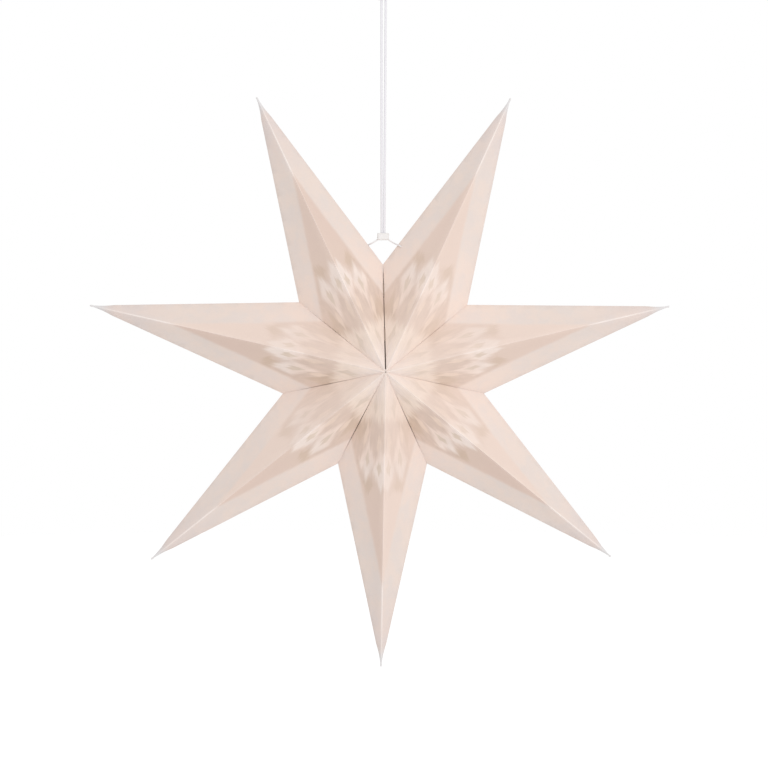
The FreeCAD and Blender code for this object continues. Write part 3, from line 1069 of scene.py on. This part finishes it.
def line_frames(line, count):
    """Evenly spaced places on a line, each with its direction and a side direction that doesn't twist."""
    total = line_length(line)
    frames = []
    travelled = 0.0
    segment = 0
    side = None
    for k in range(count + 1):
        target = total * k / count
        step = line[segment + 1] - line[segment]
        while segment < len(line) - 2 and travelled + step.length < target:
            travelled += step.length
            segment += 1
            step = line[segment + 1] - line[segment]
        place = line[segment] + step * min(1.0, (target - travelled) / step.length)
        ahead = step.normalized()
        if side is None:
            side = ahead.orthogonal().normalized()
        side = (side - ahead * side.dot(ahead)).normalized()
        frames.append((place, ahead, side))
    return frames


def braided_tube(name, line):
    length = line_length(line)
    rings = int(length * RINGS_PER_METRE)
    frames = line_frames(line, rings)
    step = length / rings
    bm = bmesh.new()
    bmesh.ops.create_circle(bm, radius=CORD_DIAMETER / 2, segments=TUBE_SIDES)
    bmesh.ops.spin(bm, geom=bm.edges[:], cent=(0, 0, 0), axis=(0, 0, 1), dvec=(0, 0, step), angle=0, steps=rings,
                   use_duplicate=False)
    ends = [e for e in bm.edges if e.is_boundary]
    bmesh.ops.holes_fill(bm, edges=ends, sides=TUBE_SIDES)
    for vert in bm.verts:
        place, ahead, side = frames[round(vert.co.z / step)]
        angle = math.atan2(vert.co.y, vert.co.x)
        climb = 2 * math.pi * vert.co.z / BRAID_PITCH
        crossing = math.cos(BRAID_STRANDS * angle + climb) * math.cos(BRAID_STRANDS * angle - climb)
        radius = CORD_DIAMETER / 2 - BRAID_RELIEF * (1 - crossing) / 2
        up = ahead.cross(side)
        vert.co = place + (side * math.cos(angle) + up * math.sin(angle)) * radius
    bmesh.ops.recalc_face_normals(bm, faces=bm.faces[:])
    return finish_mesh(name, bm, BRAID_SMOOTH)


cord = braided_tube("braided_cord", cord_line)
print("cord mesh:", len(cord.data.polygons), "faces")

# %% [markdown]
# ## The knot
#
# Below the loop the same cord is wound round both strands and pulled tight, which keeps the loop's size.
# The winding is a flat screw line, read from a spline in the same way as the cord itself.

# %% Wind the knot
KNOT_TURNS = 1.5
KNOT_HALF_WIDTH = 2.1
KNOT_END_RADIUS = 2.5
KNOT_PITCH = 2.42
KNOT_RISE = 236.4
KNOT_STEPS = 24
KNOT_SQUARENESS = 2.2


def knot_points():
    """Points of a screw line with a flattened, round-ended outline."""
    points = []
    for k in range(int(KNOT_TURNS * KNOT_STEPS) + 1):
        turn = k / KNOT_STEPS
        angle = 2 * math.pi * turn + math.pi
        shift = KNOT_HALF_WIDTH * max(-1.0, min(1.0, KNOT_SQUARENESS * math.cos(angle)))
        x = shift + KNOT_END_RADIUS * math.cos(angle)
        y = KNOT_END_RADIUS * math.sin(angle)
        points.append(Vector((x, y, SOCKET_FLOOR + KNOT_RISE + turn * KNOT_PITCH)) * MM)
    return points


knot = braided_tube("wound_knot", smooth_line("knot_guide", knot_points()))
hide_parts("cord_knot")
print("knot mesh:", len(knot.data.polygons), "faces")

# %% [markdown]
# ## Cord yarn, clip, wire and foam
#
# The small parts are white too, but each is white in its own way: the yarn is matt and a little fuzzy, the
# clip is moulded plastic with a soft shine, the wire is coated, and the foam pads are dull and open. The pads are
# darkened to a brown that paints the shade deep in the closing seam.
# A fine grain, shared by all four, keeps their surfaces from looking like one flat tone.

# %% Make the small materials
def grain_group():
    group, source, result = new_group(
        "fine_grain",
        [("Colour", "NodeSocketColor", None), ("Scale", "NodeSocketFloat", 400.0),
         ("Spread", "NodeSocketFloat", 0.05)],
        [("Colour", "NodeSocketColor"), ("Mask", "NodeSocketFloat")],
    )
    place = add_node(group, "ShaderNodeTexCoord")
    grain = add_node(group, "ShaderNodeTexNoise", Vector=place.outputs["Object"],
                     Scale=source.outputs["Scale"], Detail=4.0, Roughness=0.65)
    mask = ramp(group, grain.outputs[0], 0.3, 0.7)
    darker = sum_of(group, "MULTIPLY", sum_of(group, "SUBTRACT", 1.0, mask), source.outputs["Spread"])
    mixed = shaded(group, source.outputs["Colour"], sum_of(group, "SUBTRACT", 1.0, darker))
    feed(group, result.inputs["Colour"], mixed)
    feed(group, result.inputs["Mask"], mask)
    return group


fine_grain = grain_group()


def small_material(name, tint, scale, spread, roughness, bump_height, **settings):
    material, tree, surface = new_material(name)
    grain = add_node(tree, "ShaderNodeGroup", {"node_tree": fine_grain}, Colour=tint, Scale=scale,
                     Spread=spread)
    bump = add_node(tree, "ShaderNodeBump", Height=grain.outputs["Mask"], Strength=0.3, Distance=bump_height)
    feed(tree, surface.inputs["Base Color"], grain.outputs["Colour"])
    feed(tree, surface.inputs["Roughness"], ramp(tree, grain.outputs["Mask"], 0.0, 1.0, *roughness))
    feed(tree, surface.inputs["Normal"], bump.outputs[0])
    for key, value in settings.items():
        feed(tree, surface.inputs[key.replace("_", " ")], value)
    return material


yarn = small_material("white_yarn", colour(226, 224, 228), 2600.0, 0.04, (0.8, 0.95), 0.00005,
                      Sheen_Weight=0.25, Sheen_Roughness=0.5)
plastic = small_material("clip_plastic", colour(222, 220, 219), 350.0, 0.03, (0.28, 0.4), 0.00002,
                         Subsurface_Weight=0.15, Subsurface_Radius=(0.001, 0.001, 0.001))
coated = small_material("coated_wire", colour(224, 221, 222), 500.0, 0.04, (0.3, 0.45), 0.00002,
                        Coat_Weight=0.3)
# The pads' dark brown is painted shade, so that they read as the shade deep in the closing seam
foam = small_material("dark_foam_painted_seam_shade", colour(158, 138, 124), 1500.0, 0.16, (0.85, 0.95), 0.0003)
print("small materials:", yarn.name, plastic.name, coated.name, foam.name)

# %% [markdown]
# ## Dress the small parts
#
# The clip, the wire and the pads are right as the construction made them, so they only get a material. The
# cord and the knot stand in for plain solids.

# %% Give the small parts their materials
PAD_COUNT = 4


def show_node(name, material):
    node = nodes[name]
    node.data.materials.clear()
    node.data.materials.append(material)
    return node


clip = show_node("cord_clip", plastic)
show_node("hanger_wire", coated)
for number in range(1, PAD_COUNT + 1):
    show_node(f"closure_pad_{number}", foam)
for piece in (cord, knot):
    piece.data.materials.append(yarn)
    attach(piece, "root")
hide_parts("hanging_cord")
print("cord", round(line_length(cord_line), 3), "m, with", knot.name, "and", clip.name)
